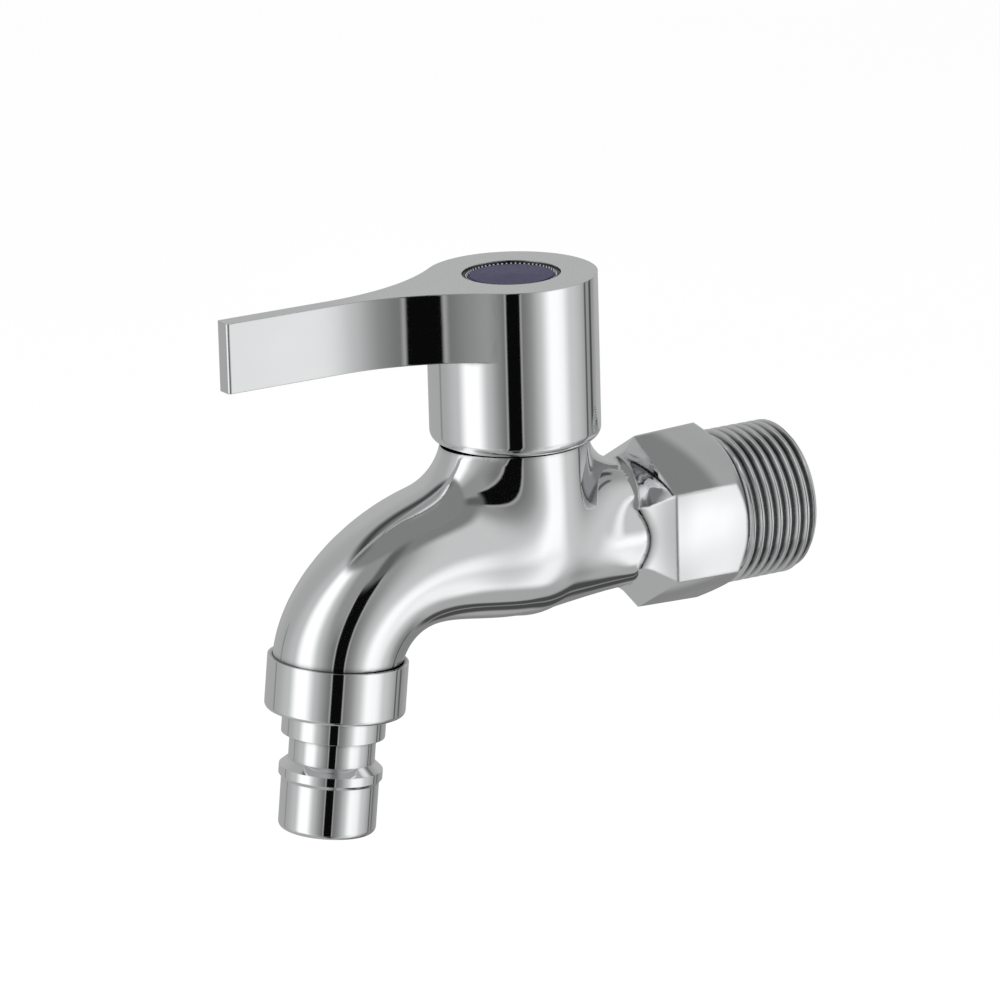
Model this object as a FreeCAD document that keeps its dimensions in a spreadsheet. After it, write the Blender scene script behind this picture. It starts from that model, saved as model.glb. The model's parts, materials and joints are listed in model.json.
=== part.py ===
import FreeCAD, Part
import math
import os
import re
import Sketcher
from FreeCAD import Placement, Rotation, Vector

# A wall-mounted tap with a quarter-turn lever handle, a bent spout and a one-touch hose nipple.
# The origin is the middle of the wall thread, on its axis. The wall lies towards +Y, the spout and
# the closed lever point towards -Y, and +Z is up. All sizes are in millimetres and degrees.

SIZES = {
    # Threaded wall tail, a G 3/4 pipe thread drawn as its outside cylinder
    "tail_radius": 13.22,
    "tail_length": 14.7,
    "tail_chamfer": 1.0,
    "relief_radius": 12.4,
    "relief_width": 1.0,
    "tail_bore_radius": 9.2,
    "tail_bore_depth": 13.0,
    "tail_bore_cone": 6.0,
    # Hexagon behind the tail and the pyramid that leads to the neck
    "hex_flats": 27.0,
    "hex_front_flats": 26.2,
    "hex_length": 13.9,
    "pyramid_flats": 16.8,
    "pyramid_length": 4.6,
    "pyramid_fillet": 4.5,
    # Neck from the pyramid's end to the valve's axis, and the belly under the valve, as places on the
    # centre line measured from the valve's axis and the inlet's axis
    "neck_length": 18.8,
    "neck_radius": 10.3,
    "neck_offset": 12.0,
    "neck_drop": 0.4,
    "neck_tilt": 1.0,
    "belly_height": 0.58,
    "belly_climb": 6.0,
    "belly_relief": 0.2,
    # Spout
    "spout_root_offset": 15.0,
    "spout_root_height": 1.74,
    "spout_root_radius": 12.03,
    "spout_root_tilt": 4.0,
    "bend_offset": 32.0,
    "bend_drop": 6.3,
    "bend_radius": 10.7,
    "bend_tilt": 50.0,
    "spout_end_radius": 10.6,
    "nozzle_offset": 35.4,
    "nozzle_drop": 13.3,
    "nozzle_tilt": 6.45,
    "mouth_thread_radius": 10.45,
    "mouth_thread_length": 3.8,
    "nut_lip_depth": 1.1,
    # Valve tower
    "tower_radius": 12.5,
    "seam_height": 18.6,
    "collar_radius": 11.6,
    "collar_height": 3.9,
    "tower_front_fillet": 10.5,
    "tower_back_fillet": 10.0,
    # Waterways inside the body
    "waterway_radius": 5.8,
    "waterway_drop": 3.0,
    "waterway_overrun": 2.5,
    "waterway_cone": 3.0,
    "seat_bore_radius": 5.0,
    "seat_ring_width": 2.0,
    "seat_rise": 1.0,
    "chamber_floor": 4.8,
    "chamber_radius": 9.8,
    "chamber_thread_radius": 10.3,
    "chamber_thread_depth": 7.5,
    "passage_start_offset": 7.2,
    "passage_start_height": 5.2,
    "passage_start_radius": 6.4,
    "passage_root_height": 2.0,
    "passage_root_radius": 8.2,
    "passage_bend_radius": 8.0,
    "passage_end_radius": 7.8,
    # Nozzle nut and hose nipple
    "nut_radius": 11.8,
    "nut_height": 9.0,
    "nut_floor": 1.2,
    "nut_lip_gap": 0.4,
    "nut_edge": 0.8,
    "nut_thread_gap": 0.1,
    "nipple_hole_gap": 0.15,
    "nipple_flange_radius": 10.2,
    "nipple_flange_thickness": 1.4,
    "nipple_step_radius": 8.7,
    "nipple_step_length": 4.0,
    "nipple_neck_radius": 7.25,
    "nipple_neck_length": 4.35,
    "nipple_bevel": 1.3,
    "nipple_rib_width": 1.5,
    "nipple_end_radius": 8.2,
    "nipple_under_bevel": 0.6,
    "nipple_end_length": 8.75,
    "nipple_end_round": 1.0,
    "nipple_bore_radius": 5.6,
    "nozzle_washer_bore": 7.2,
    # Cartridge housing
    "barrel_radius": 8.4,
    "barrel_bore_radius": 7.5,
    "barrel_lift": 0.8,
    "key_width": 3.0,
    "key_gap": 0.1,
    "key_root": 0.5,
    "window_half_angle": 55.0,
    "window_height": 4.1,
    "housing_thread_lead": 0.4,
    "housing_thread_gap": 0.1,
    "housing_thread_chamfer": 0.6,
    "housing_flange_radius": 11.5,
    "housing_flange_thickness": 1.2,
    "housing_hex_flats": 20.0,
    "housing_hex_height": 3.9,
    "housing_boss_radius": 7.0,
    "housing_boss_height": 0.9,
    # Seals
    "seat_seal_thickness": 2.0,
    "seal_gap": 0.1,
    "support_ring_radius": 5.8,
    "support_ring_bore": 5.1,
    "support_ring_height": 1.6,
    "housing_seal_thickness": 1.0,
    # Ceramic discs
    "disc_radius": 7.4,
    "fixed_disc_thickness": 3.0,
    "moving_disc_thickness": 2.5,
    "disc_gap": 0.03,
    "port_inner_radius": 2.4,
    "port_outer_radius": 6.2,
    "port_half_angle": 38.0,
    # Spindle with its rings
    "spindle_radius": 4.9,
    "spindle_gap": 0.15,
    "spindle_flange_gap": 0.07,
    "spindle_flange_radius": 7.2,
    "spindle_flange_thickness": 1.7,
    "thrust_washer_thickness": 0.6,
    "thrust_gap": 0.05,
    "stop_lug_reach": 8.2,
    "stop_lug_half_angle": 9.0,
    "stop_lug_inset": 0.3,
    "handle_travel": 90.0,
    "tang_width": 3.0,
    "tang_length": 12.0,
    "tang_depth": 1.2,
    "tang_gap": 0.05,
    "ring_groove_radius": 3.75,
    "ring_groove_width": 1.5,
    "ring_section_radius": 0.6,
    "lower_ring_rise": 3.2,
    "upper_ring_rise": 8.4,
    "circlip_gap": 0.1,
    "circlip_thickness": 0.7,
    "circlip_groove_radius": 4.1,
    "circlip_groove_width": 0.8,
    "circlip_radius": 6.4,
    "circlip_half_angle": 150.0,
    "spline_clear": 1.5,
    "spline_radius": 4.3,
    "spline_depth": 0.45,
    "spline_land": 0.45,
    "spline_root_width": 0.2,
    "spline_count": 20,
    "spline_gap": 0.05,
    # Handle
    "seam_gap": 0.3,
    "sleeve_radius": 14.4,
    "sleeve_height": 28.3,
    "sleeve_bore_radius": 11.9,
    "sleeve_round": 1.85,
    "crown_thickness": 8.7,
    "hub_radius": 7.5,
    "hub_gap": 0.3,
    "web_thickness": 2.0,
    "web_gap": 0.2,
    "blade_thickness": 3.3,
    "blade_height": 11.8,
    "blade_reach": 55.0,
    "blade_sweep_radius": 38.0,
    "blade_tip_round": 0.5,
    "recess_radius": 8.29,
    "recess_depth": 4.0,
    "screw_well_radius": 4.4,
    # Handle screw and its washer
    "screw_radius": 1.95,
    "screw_hole_gap": 0.2,
    "screw_head_radius": 3.8,
    "screw_head_height": 2.2,
    "screw_head_round": 0.6,
    "screw_head_room": 1.8,
    "screw_engagement": 6.2,
    "screw_slot_width": 0.8,
    "screw_slot_length": 4.7,
    "screw_slot_depth": 1.1,
    "screw_tap_depth": 7.0,
    "screw_tap_gap": 0.05,
    "screw_washer_radius": 4.2,
    "screw_washer_thickness": 0.8,
    # Amount by which a cut runs past the surface it opens, or a pad sinks into what it stands on
    "cut_margin": 1.0,
    # Index ring and button
    "index_gap": 0.09,
    "index_setback": 0.3,
    "index_ring_bore": 7.55,
    "index_tooth_depth": 0.4,
    "index_tooth_count": 64,
    "index_tooth_share": 0.8,
    "button_radius": 7.4,
    "button_edge": 0.45,
    "button_rise": 0.15,
    "button_skirt": 1.0,
    "button_hollow": 1.2,
}

# Places and radii that follow from the sizes
LEVELS = {
    "thread_middle": "(tail_chamfer + tail_length - relief_width - tail_radius + relief_radius) / 2",
    "hex_end": "tail_length + hex_length",
    "pyramid_end": "hex_end + pyramid_length",
    "valve_setback": "pyramid_end + neck_length",
    "bowl_radius": "tower_radius - belly_relief",
    "seat_top": "chamber_floor + seat_rise",
    "barrel_bottom": "seat_top + barrel_lift",
    "fixed_disc_bottom": "seat_top + seat_seal_thickness",
    "fixed_disc_top": "fixed_disc_bottom + fixed_disc_thickness",
    "moving_disc_bottom": "fixed_disc_top + disc_gap",
    "moving_disc_top": "moving_disc_bottom + moving_disc_thickness",
    "spindle_flange_bottom": "moving_disc_top + spindle_flange_gap",
    "spindle_flange_top": "spindle_flange_bottom + spindle_flange_thickness",
    "housing_shoulder": "spindle_flange_top + thrust_washer_thickness + thrust_gap",
    "collar_top": "seam_height + collar_height",
    "chamber_thread_bottom": "collar_top - chamber_thread_depth",
    "housing_thread_bottom": "chamber_thread_bottom + housing_thread_lead",
    "housing_thread_radius": "chamber_thread_radius - housing_thread_gap",
    "flange_bottom": "collar_top + housing_seal_thickness",
    "housing_hex_bottom": "flange_bottom + housing_flange_thickness",
    "housing_hex_top": "housing_hex_bottom + housing_hex_height",
    "housing_top": "housing_hex_top + housing_boss_height",
    "stem_bore_radius": "spindle_radius + spindle_gap",
    "circlip_bottom": "housing_top + circlip_gap",
    "spline_bottom": "housing_top + spline_clear",
    "spline_root_radius": "spline_radius - spline_depth",
    "sleeve_bottom": "seam_height + seam_gap",
    "handle_top": "sleeve_bottom + sleeve_height",
    "blade_bottom": "handle_top - blade_height",
    "recess_floor": "handle_top - recess_depth",
    "screw_head_bottom": "recess_floor + button_hollow - screw_head_room - screw_head_height",
    "screw_seat": "screw_head_bottom - screw_washer_thickness",
    "web_bottom": "screw_seat - web_thickness",
    "spindle_top": "web_bottom - web_gap",
    "spline_length": "spindle_top - spline_bottom",
    "index_top": "handle_top - index_setback",
    "index_ring_radius": "recess_radius - index_gap",
    "mouth_depth": "nut_lip_depth + mouth_thread_length",
    "washer_thickness": "nut_height - nut_floor - nipple_flange_thickness - mouth_depth",
}

# Largest difference at which a measured edge still counts as the one that is looked for
SAME = 0.01

SHEET_NAME = "Sizes"
WORD = re.compile(r"[a-z][a-z_0-9]+")

doc = FreeCAD.newDocument("Tap")
sheet = doc.addObject("Spreadsheet::Sheet", SHEET_NAME)
for row, (size_name, size) in enumerate(SIZES.items(), start=1):
    sheet.set("A%d" % row, size_name.replace("_", " "))
    sheet.set("B%d" % row, str(size))
    sheet.setAlias("B%d" % row, size_name)
doc.recompute()

PIECES = []


def bound(text):
    """Writes an expression on sizes and levels as one on the sheet's cells."""

    def swap(word):
        name = word.group()
        if name in LEVELS:
            return "(" + bound(LEVELS[name]) + ")"
        if name in SIZES:
            return SHEET_NAME + "." + name
        return name

    return WORD.sub(swap, text)


def value(text):
    """Works out an expression on sizes and levels."""
    return float(sheet.evalExpression(bound(text)))


def bind(thing, **properties):
    """Binds an object's properties to expressions on the sheet."""
    for name, text in properties.items():
        thing.setExpression(name.replace("__", "."), bound(text))


def new_body(label, across="0", along="0", up="0", tilt="0"):
    """Starts a piece whose own origin lies at the given place, leaning forward by the tilt."""
    body = doc.addObject("PartDesign::Body", label)
    body.Label = label
    body.Placement = Placement(Vector(0, 0, 0), Rotation(Vector(1, 0, 0), value(tilt)))
    bind(body, Placement__Base__x=across, Placement__Base__y=along, Placement__Base__z=up)
    if tilt != "0":
        bind(body, Placement__Rotation__Angle=tilt)
    PIECES.append(body)
    return body


def new_sketch(body, name, plane="XZ_Plane", across="0", up="0", out="0", lean="0", turn="0"):
    """Starts a sketch on one of the body's planes, moved by across, up and out and leaned or turned."""
    sketch = body.newObject("Sketcher::SketchObject", body.Name + "_" + name)
    support = [item for item in body.Origin.OriginFeatures if item.Role == plane][0]
    sketch.AttachmentSupport = (support, [""])
    sketch.MapMode = "FlatFace"
    axis = Vector(0, 0, 1) if turn != "0" else Vector(1, 0, 0)
    angle = turn if turn != "0" else lean
    sketch.AttachmentOffset = Placement(Vector(0, 0, 0), Rotation(axis, value(angle)))
    if across != "0":
        bind(sketch, AttachmentOffset__Base__x=across)
    if up != "0":
        bind(sketch, AttachmentOffset__Base__y=up)
    if out != "0":
        bind(sketch, AttachmentOffset__Base__z=out)
    if angle != "0":
        bind(sketch, AttachmentOffset__Rotation__Angle=angle)
    return sketch


def constrain(sketch, kind, *arguments, size=None):
    """Adds a constraint and binds its value to an expression."""
    if size is None:
        return sketch.addConstraint(Sketcher.Constraint(kind, *arguments))
    number = value(size)
    if kind == "Angle":
        number = math.radians(number)
    index = sketch.addConstraint(Sketcher.Constraint(kind, *arguments, number))
    sketch.setExpression("Constraints[%d]" % index, bound(size))
    return index


def draw_outline(sketch, corners):
    """Draws a closed outline. Each corner is a pair of expressions, across and up."""
    spots = [Vector(value(across), value(up), 0) for across, up in corners]
    first = sketch.GeometryCount
    count = len(corners)
    for index in range(count):
        sketch.addGeometry(Part.LineSegment(spots[index], spots[(index + 1) % count]), False)
    for index in range(count):
        constrain(sketch, "Coincident", first + index, 2, first + (index + 1) % count, 1)
    for index, (across, up) in enumerate(corners):
        if across == "0":
            constrain(sketch, "PointOnObject", first + index, 1, -2)
        else:
            constrain(sketch, "DistanceX", -1, 1, first + index, 1, size=across)
        if up == "0":
            constrain(sketch, "PointOnObject", first + index, 1, -1)
        else:
            constrain(sketch, "DistanceY", -1, 1, first + index, 1, size=up)


def draw_circle(sketch, radius):
    """Draws a circle round the sketch's origin."""
    index = sketch.addGeometry(Part.Circle(Vector(0, 0, 0), Vector(0, 0, 1), value(radius)), False)
    constrain(sketch, "Coincident", index, 3, -1, 1)
    constrain(sketch, "Radius", index, size=radius)


def draw_sector(sketch, inner, outer, half_angle, middle="0"):
    """Draws a sector of a ring round the sketch's origin, centred on the middle angle."""
    low = "%s - %s" % (middle, half_angle)
    high = "%s + %s" % (middle, half_angle)
    start = math.radians(value(low))
    end = math.radians(value(high))
    rays = [Vector(math.cos(angle), math.sin(angle), 0) for angle in (start, end)]
    near = Part.ArcOfCircle(Part.Circle(Vector(0, 0, 0), Vector(0, 0, 1), value(inner)), start, end)
    far = Part.ArcOfCircle(Part.Circle(Vector(0, 0, 0), Vector(0, 0, 1), value(outer)), start, end)
    near_arc = sketch.addGeometry(near, False)
    far_arc = sketch.addGeometry(far, False)
    low_side = sketch.addGeometry(Part.LineSegment(rays[0] * value(inner), rays[0] * value(outer)), False)
    high_side = sketch.addGeometry(Part.LineSegment(rays[1] * value(inner), rays[1] * value(outer)), False)
    for arc, radius in ((near_arc, inner), (far_arc, outer)):
        constrain(sketch, "Coincident", arc, 3, -1, 1)
        constrain(sketch, "Radius", arc, size=radius)
    for side, end_point, angle in ((low_side, 1, low), (high_side, 2, high)):
        constrain(sketch, "Coincident", near_arc, end_point, side, 1)
        constrain(sketch, "Coincident", far_arc, end_point, side, 2)
        constrain(sketch, "Angle", side, size=angle)


def add_feature(body, kind, name, profile, **properties):
    """Adds a feature made from a sketch and binds its sizes."""
    feature = body.newObject("PartDesign::" + kind, body.Name + "_" + name)
    feature.Profile = profile
    bind(feature, **properties)
    return feature


def spin(body, name, corners, cut=False, **sketch_place):
    """Turns an outline about the upright axis of its sketch, to add or to cut a round form."""
    sketch = new_sketch(body, name + "_outline", **sketch_place)
    draw_outline(sketch, corners)
    feature = add_feature(body, "Groove" if cut else "Revolution", name, sketch)
    feature.ReferenceAxis = (sketch, ["V_Axis"])
    feature.Angle = 360
    return feature


def extrude(body, name, sketch, length, cut=False, reverse=False):
    """Pads a sketch, or cuts it as a pocket, by a length."""
    feature = add_feature(body, "Pocket" if cut else "Pad", name, sketch, Length=length)
    feature.Reversed = reverse
    return feature


def repeat_round(body, name, feature, sketch, count):
    """Repeats a feature evenly round its sketch's normal."""
    pattern = body.newObject("PartDesign::PolarPattern", body.Name + "_" + name)
    pattern.Originals = [feature]
    pattern.Axis = (sketch, ["N_Axis"])
    pattern.Angle = 360
    if isinstance(count, str):
        pattern.Occurrences = int(value(count))
        bind(pattern, Occurrences=count)
    else:
        pattern.Occurrences = count
    body.Tip = pattern
    return pattern


def round_edges(body, name, radius, chosen, kind="Fillet"):
    """Rounds or bevels the edges of the body's last shape that the test picks."""
    doc.recompute()
    base = body.Tip
    names = ["Edge%d" % number for number, edge in enumerate(base.Shape.Edges, start=1)
             if not edge.Degenerated and chosen(base.Shape, edge)]
    if not names:
        raise ValueError("no edge found for " + body.Name + " " + name)
    feature = body.newObject("PartDesign::" + kind, body.Name + "_" + name)
    feature.Base = (base, names)
    if kind == "Fillet":
        bind(feature, Radius=radius)
    else:
        bind(feature, Size=radius)
    return feature


def circle_at(radius, height):
    """Makes a test for a circular edge of that radius at that height above the body's own origin."""

    def chosen(shape, edge):
        curve = edge.Curve
        return (isinstance(curve, Part.Circle) and abs(curve.Radius - value(radius)) < SAME
                and abs(curve.Center.z - value(height)) < SAME)

    return chosen


def ring_piece(label, inner, outer, bottom, top, **body_place):
    """Makes a plain ring about the upright axis of its body."""
    body = new_body(label, **body_place)
    spin(body, "ring", [(inner, bottom), (outer, bottom), (outer, top), (inner, top)])
    return body


def on_valve_axis():
    """Gives the place of a piece that is centred on the valve's axis."""
    return {"along": "thread_middle - valve_setback"}


def on_nozzle_axis():
    """Gives the place of a piece whose own Z is the nozzle's axis, from the nut's rim upwards."""
    return {"along": "thread_middle - valve_setback - nozzle_offset", "up": "-nozzle_drop",
            "tilt": "-nozzle_tilt"}


def draw_hexagon(sketch, flats):
    """Draws a hexagon with two flats facing across and a corner at the top."""
    half = flats + " / 2"
    corner = flats + " / 2 / cos(30)"
    side = flats + " / 4 / cos(30)"
    draw_outline(sketch, [(half, side), ("0", corner), ("-" + half, side),
                          ("-" + half, "-" + side), ("0", "-" + corner), (half, "-" + side)])


# Body casting: tail, hexagon, neck, tower and spout in one piece

NECK_AND_SPOUT = (
    # name, distance from the wall end, height, radius, lean below the level
    ("start", "tail_length + hex_length / 2", "0", "neck_radius", "0"),
    ("hex_side", "pyramid_end", "0", "neck_radius", "0"),
    ("neck", "valve_setback - neck_offset", "-neck_drop", "neck_radius", "-neck_tilt"),
    ("belly", "valve_setback", "belly_height", "bowl_radius", "-belly_climb"),
    ("root", "valve_setback + spout_root_offset", "spout_root_height", "spout_root_radius",
     "spout_root_tilt"),
    ("bend", "valve_setback + bend_offset", "-bend_drop", "bend_radius", "bend_tilt"),
    ("mouth", "valve_setback + nozzle_offset + mouth_depth * sin(nozzle_tilt)",
     "-nozzle_drop - mouth_depth * cos(nozzle_tilt)", "spout_end_radius", "90 - nozzle_tilt"),
)

SPOUT_PASSAGE = (
    ("start", "valve_setback + passage_start_offset", "passage_start_height", "passage_start_radius",
     "spout_root_tilt"),
    ("root", "valve_setback + spout_root_offset", "passage_root_height", "passage_root_radius",
     "spout_root_tilt"),
    ("bend", "valve_setback + bend_offset", "-bend_drop", "passage_bend_radius", "bend_tilt"),
    ("mouth", "valve_setback + nozzle_offset + mouth_depth * sin(nozzle_tilt)",
     "-nozzle_drop - mouth_depth * cos(nozzle_tilt)", "passage_end_radius", "90 - nozzle_tilt"),
)


def loft_circles(body, kind, name, stations):
    """Lofts through circles that stand square to the centre line."""
    sections = []
    for station, out, up, radius, lean in stations:
        sketch = new_sketch(body, name + "_" + station, out=out, up=up, lean=lean)
        draw_circle(sketch, radius)
        sections.append(sketch)
    loft = add_feature(body, kind, name, sections[0])
    loft.Sections = sections[1:]
    return loft


def meets_tower(front):
    """Makes a test for the edges where the spout or the neck meets the tower and its bowl."""
    valve_axis = -value("valve_setback")

    def chosen(shape, edge):
        surfaces = [face.Surface for face in shape.ancestorsOfType(edge, Part.Face)]
        lofted = [surface for surface in surfaces if isinstance(surface, Part.BSplineSurface)]
        turned = [surface for surface in surfaces if isinstance(surface, (Part.Cylinder, Part.Sphere))]
        before = edge.CenterOfMass.y < valve_axis
        return len(lofted) == 1 and len(turned) == 1 and before == front

    return chosen


def make_body_casting():
    """Makes the cast body with its tail, waterways, seat and mouth."""
    body = new_body("body_casting", along="thread_middle")
    loft_circles(body, "AdditiveLoft", "neck_and_spout", NECK_AND_SPOUT)

    tower = body.newObject("PartDesign::AdditiveCylinder", "tower")
    bind(tower, Radius="tower_radius", Height="seam_height - belly_height + tower_back_fillet",
         Placement__Base__y="-valve_setback", Placement__Base__z="belly_height")
    bowl = body.newObject("PartDesign::AdditiveSphere", "bowl")
    bind(bowl, Radius="tower_radius",
         Placement__Base__y="-valve_setback", Placement__Base__z="belly_height")
    round_edges(body, "front_fillet", "tower_front_fillet", meets_tower(True))
    round_edges(body, "back_fillet", "tower_back_fillet", meets_tower(False))

    spin(body, "seam_step", [
        ("collar_radius", "seam_height"),
        ("tower_radius + tower_back_fillet", "seam_height"),
        ("tower_radius + tower_back_fillet", "seam_height + tower_back_fillet + cut_margin"),
        ("0", "seam_height + tower_back_fillet + cut_margin"),
        ("0", "collar_top"),
        ("collar_radius", "collar_top"),
    ], cut=True, out="valve_setback")

    sections = []
    for name, out, flats in (("back", "tail_length", "hex_flats"), ("middle", "hex_end", "hex_front_flats"),
                             ("front", "pyramid_end", "pyramid_flats")):
        sketch = new_sketch(body, "hexagon_" + name, out=out)
        draw_hexagon(sketch, flats)
        sections.append(sketch)
    hexagon = add_feature(body, "AdditiveLoft", "hexagon", sections[0])
    hexagon.Sections = sections[1:]
    hexagon.Ruled = True
    spin(body, "hexagon_end_cone", [
        ("hex_flats / 2", "-tail_length"),
        ("hex_flats / 2 + hex_length", "-tail_length"),
        ("hex_flats / 2 + hex_length", "-tail_length - hex_length"),
    ], cut=True, plane="XY_Plane")
    round_edges(body, "pyramid_foot_fillet", "pyramid_fillet", at_pyramid_foot)

    spin(body, "tail", [
        ("0", "0"),
        ("tail_radius - tail_chamfer", "0"),
        ("tail_radius", "-tail_chamfer"),
        ("tail_radius", "-tail_length + relief_width + tail_radius - relief_radius"),
        ("relief_radius", "-tail_length + relief_width"),
        ("relief_radius", "-tail_length"),
        ("0", "-tail_length"),
    ], plane="XY_Plane")

    spin(body, "tail_bore", [
        ("0", "0"),
        ("tail_bore_radius", "0"),
        ("tail_bore_radius", "-tail_bore_depth"),
        ("0", "-tail_bore_depth - tail_bore_cone"),
    ], cut=True, plane="XY_Plane")
    spin(body, "inlet_waterway", [
        ("0", "-tail_bore_depth"),
        ("waterway_radius", "-tail_bore_depth"),
        ("waterway_radius", "-valve_setback - waterway_overrun"),
        ("0", "-valve_setback - waterway_overrun - waterway_cone"),
    ], cut=True, plane="XY_Plane", out="-waterway_drop")
    spin(body, "valve_chamber", [
        ("0", "-waterway_drop"),
        ("seat_bore_radius", "-waterway_drop"),
        ("seat_bore_radius", "seat_top"),
        ("seat_bore_radius + seat_ring_width", "seat_top"),
        ("seat_bore_radius + seat_ring_width", "chamber_floor"),
        ("chamber_radius", "chamber_floor"),
        ("chamber_radius", "chamber_thread_bottom"),
        ("chamber_thread_radius", "chamber_thread_bottom"),
        ("chamber_thread_radius", "collar_top"),
        ("0", "collar_top"),
    ], cut=True, out="valve_setback")
    loft_circles(body, "SubtractiveLoft", "spout_passage", SPOUT_PASSAGE)
    spin(body, "mouth_thread", [
        ("mouth_thread_radius", "-nut_lip_depth"),
        ("nut_radius", "-nut_lip_depth"),
        ("nut_radius", "-nut_height"),
        ("mouth_thread_radius", "-nut_height"),
    ], cut=True, plane="YZ_Plane", across="-valve_setback - nozzle_offset", up="-nozzle_drop",
        turn="-nozzle_tilt")
    return body


def at_pyramid_foot(shape, edge):
    """Picks the edges that run round the pyramid where its sides meet the neck and the tower's fillet."""
    middle = -edge.CenterOfMass.y
    beside = value("hex_end + pyramid_length / 4") < middle < value("pyramid_end")
    return beside and edge.BoundBox.YLength < edge.Length / 2


# The nozzle: nut, washer and hose nipple, all round the nozzle's axis

def make_nozzle_nut():
    """Makes the union nut that holds the nipple against the spout's mouth."""
    body = new_body("nozzle_nut", **on_nozzle_axis())
    thread_bore = "mouth_thread_radius + nut_thread_gap"
    nipple_hole = "nipple_step_radius + nipple_hole_gap"
    spin(body, "shell", [
        ("spout_end_radius + nut_lip_gap", "0"),
        ("nut_radius", "0"),
        ("nut_radius", "-nut_height"),
        (nipple_hole, "-nut_height"),
        (nipple_hole, "-nut_height + nut_floor"),
        (thread_bore, "-nut_height + nut_floor"),
        (thread_bore, "-nut_lip_depth"),
        ("spout_end_radius + nut_lip_gap", "-nut_lip_depth"),
    ])
    round_edges(body, "bottom_edge", "nut_edge", circle_at("nut_radius", "-nut_height"))
    return body


def make_hose_nipple():
    """Makes the stepped nipple with its catch rib, flange and bore."""
    body = new_body("hose_nipple", **on_nozzle_axis())
    flange_bottom = "-nut_height + nut_floor"
    step_end = "-nut_height - nipple_step_length"
    neck_end = step_end + " - nipple_neck_length"
    rib_top = neck_end + " - nipple_bevel"
    rib_bottom = rib_top + " - nipple_rib_width"
    end_top = rib_bottom + " - nipple_under_bevel"
    bottom = end_top + " - nipple_end_length"
    spin(body, "turned", [
        ("nipple_bore_radius", flange_bottom + " + nipple_flange_thickness"),
        ("nipple_flange_radius", flange_bottom + " + nipple_flange_thickness"),
        ("nipple_flange_radius", flange_bottom),
        ("nipple_step_radius", flange_bottom),
        ("nipple_step_radius", step_end),
        ("nipple_neck_radius", step_end),
        ("nipple_neck_radius", neck_end),
        ("nipple_step_radius", rib_top),
        ("nipple_step_radius", rib_bottom),
        ("nipple_end_radius", end_top),
        ("nipple_end_radius", bottom),
        ("nipple_bore_radius", bottom),
    ])
    round_edges(body, "end_round", "nipple_end_round", circle_at("nipple_end_radius", bottom))
    return body


def make_nozzle_washer():
    """Makes the rubber washer between the nipple's flange and the spout's mouth."""
    return ring_piece("nozzle_washer", "nozzle_washer_bore", "nipple_flange_radius",
                      "-mouth_depth - washer_thickness", "-mouth_depth", **on_nozzle_axis())


# The headwork: housing, seals and ceramic discs, all round the valve's axis

def make_cartridge_housing():
    """Makes the brass headwork body with its keyed and windowed barrel."""
    body = new_body("cartridge_housing", **on_valve_axis())
    spin(body, "turned", [
        ("barrel_bore_radius", "barrel_bottom"),
        ("barrel_radius", "barrel_bottom"),
        ("barrel_radius", "housing_thread_bottom"),
        ("housing_thread_radius - housing_thread_chamfer", "housing_thread_bottom"),
        ("housing_thread_radius", "housing_thread_bottom + housing_thread_chamfer"),
        ("housing_thread_radius", "flange_bottom"),
        ("housing_flange_radius", "flange_bottom"),
        ("housing_flange_radius", "housing_hex_bottom"),
        ("housing_boss_radius", "housing_hex_bottom"),
        ("housing_boss_radius", "housing_top"),
        ("stem_bore_radius", "housing_top"),
        ("stem_bore_radius", "housing_shoulder"),
        ("barrel_bore_radius", "housing_shoulder"),
    ])
    hexagon = new_sketch(body, "hexagon", plane="XY_Plane", out="housing_hex_bottom")
    draw_hexagon(hexagon, "housing_hex_flats")
    draw_circle(hexagon, "stem_bore_radius")
    extrude(body, "hexagon_pad", hexagon, "housing_hex_height")

    window = new_sketch(body, "window", plane="XY_Plane", out="fixed_disc_top")
    draw_sector(window, "disc_radius - cut_margin", "barrel_radius + cut_margin", "window_half_angle", "270")
    windows = extrude(body, "window_cut", window, "window_height", cut=True, reverse=True)
    repeat_round(body, "windows", windows, window, 2)
    key_slot = new_sketch(body, "key_slot", plane="XY_Plane", out="barrel_bottom")
    half_slot = "(key_width / 2 + key_gap)"
    outer = "-barrel_radius - cut_margin"
    inner = "-disc_radius + cut_margin"
    draw_outline(key_slot, [("-" + half_slot, outer), (half_slot, outer),
                            (half_slot, inner), ("-" + half_slot, inner)])
    slot = extrude(body, "key_slot_cut", key_slot, "fixed_disc_top - barrel_bottom + key_gap", cut=True,
                   reverse=True)
    repeat_round(body, "key_slots", slot, key_slot, 2)
    return body


def make_disc(label, radius, bottom, thickness, port_middle):
    """Makes a ceramic disc with two ports."""
    body = new_body(label, **on_valve_axis())
    blank = new_sketch(body, "blank", plane="XY_Plane", out=bottom)
    draw_circle(blank, radius)
    extrude(body, "blank_pad", blank, thickness)
    port = new_sketch(body, "port", plane="XY_Plane", out=bottom)
    draw_sector(port, "port_inner_radius", "port_outer_radius", "port_half_angle", port_middle)
    port_cut = extrude(body, "port_cut", port, thickness, cut=True, reverse=True)
    repeat_round(body, "ports", port_cut, port, 2)
    return body


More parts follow.
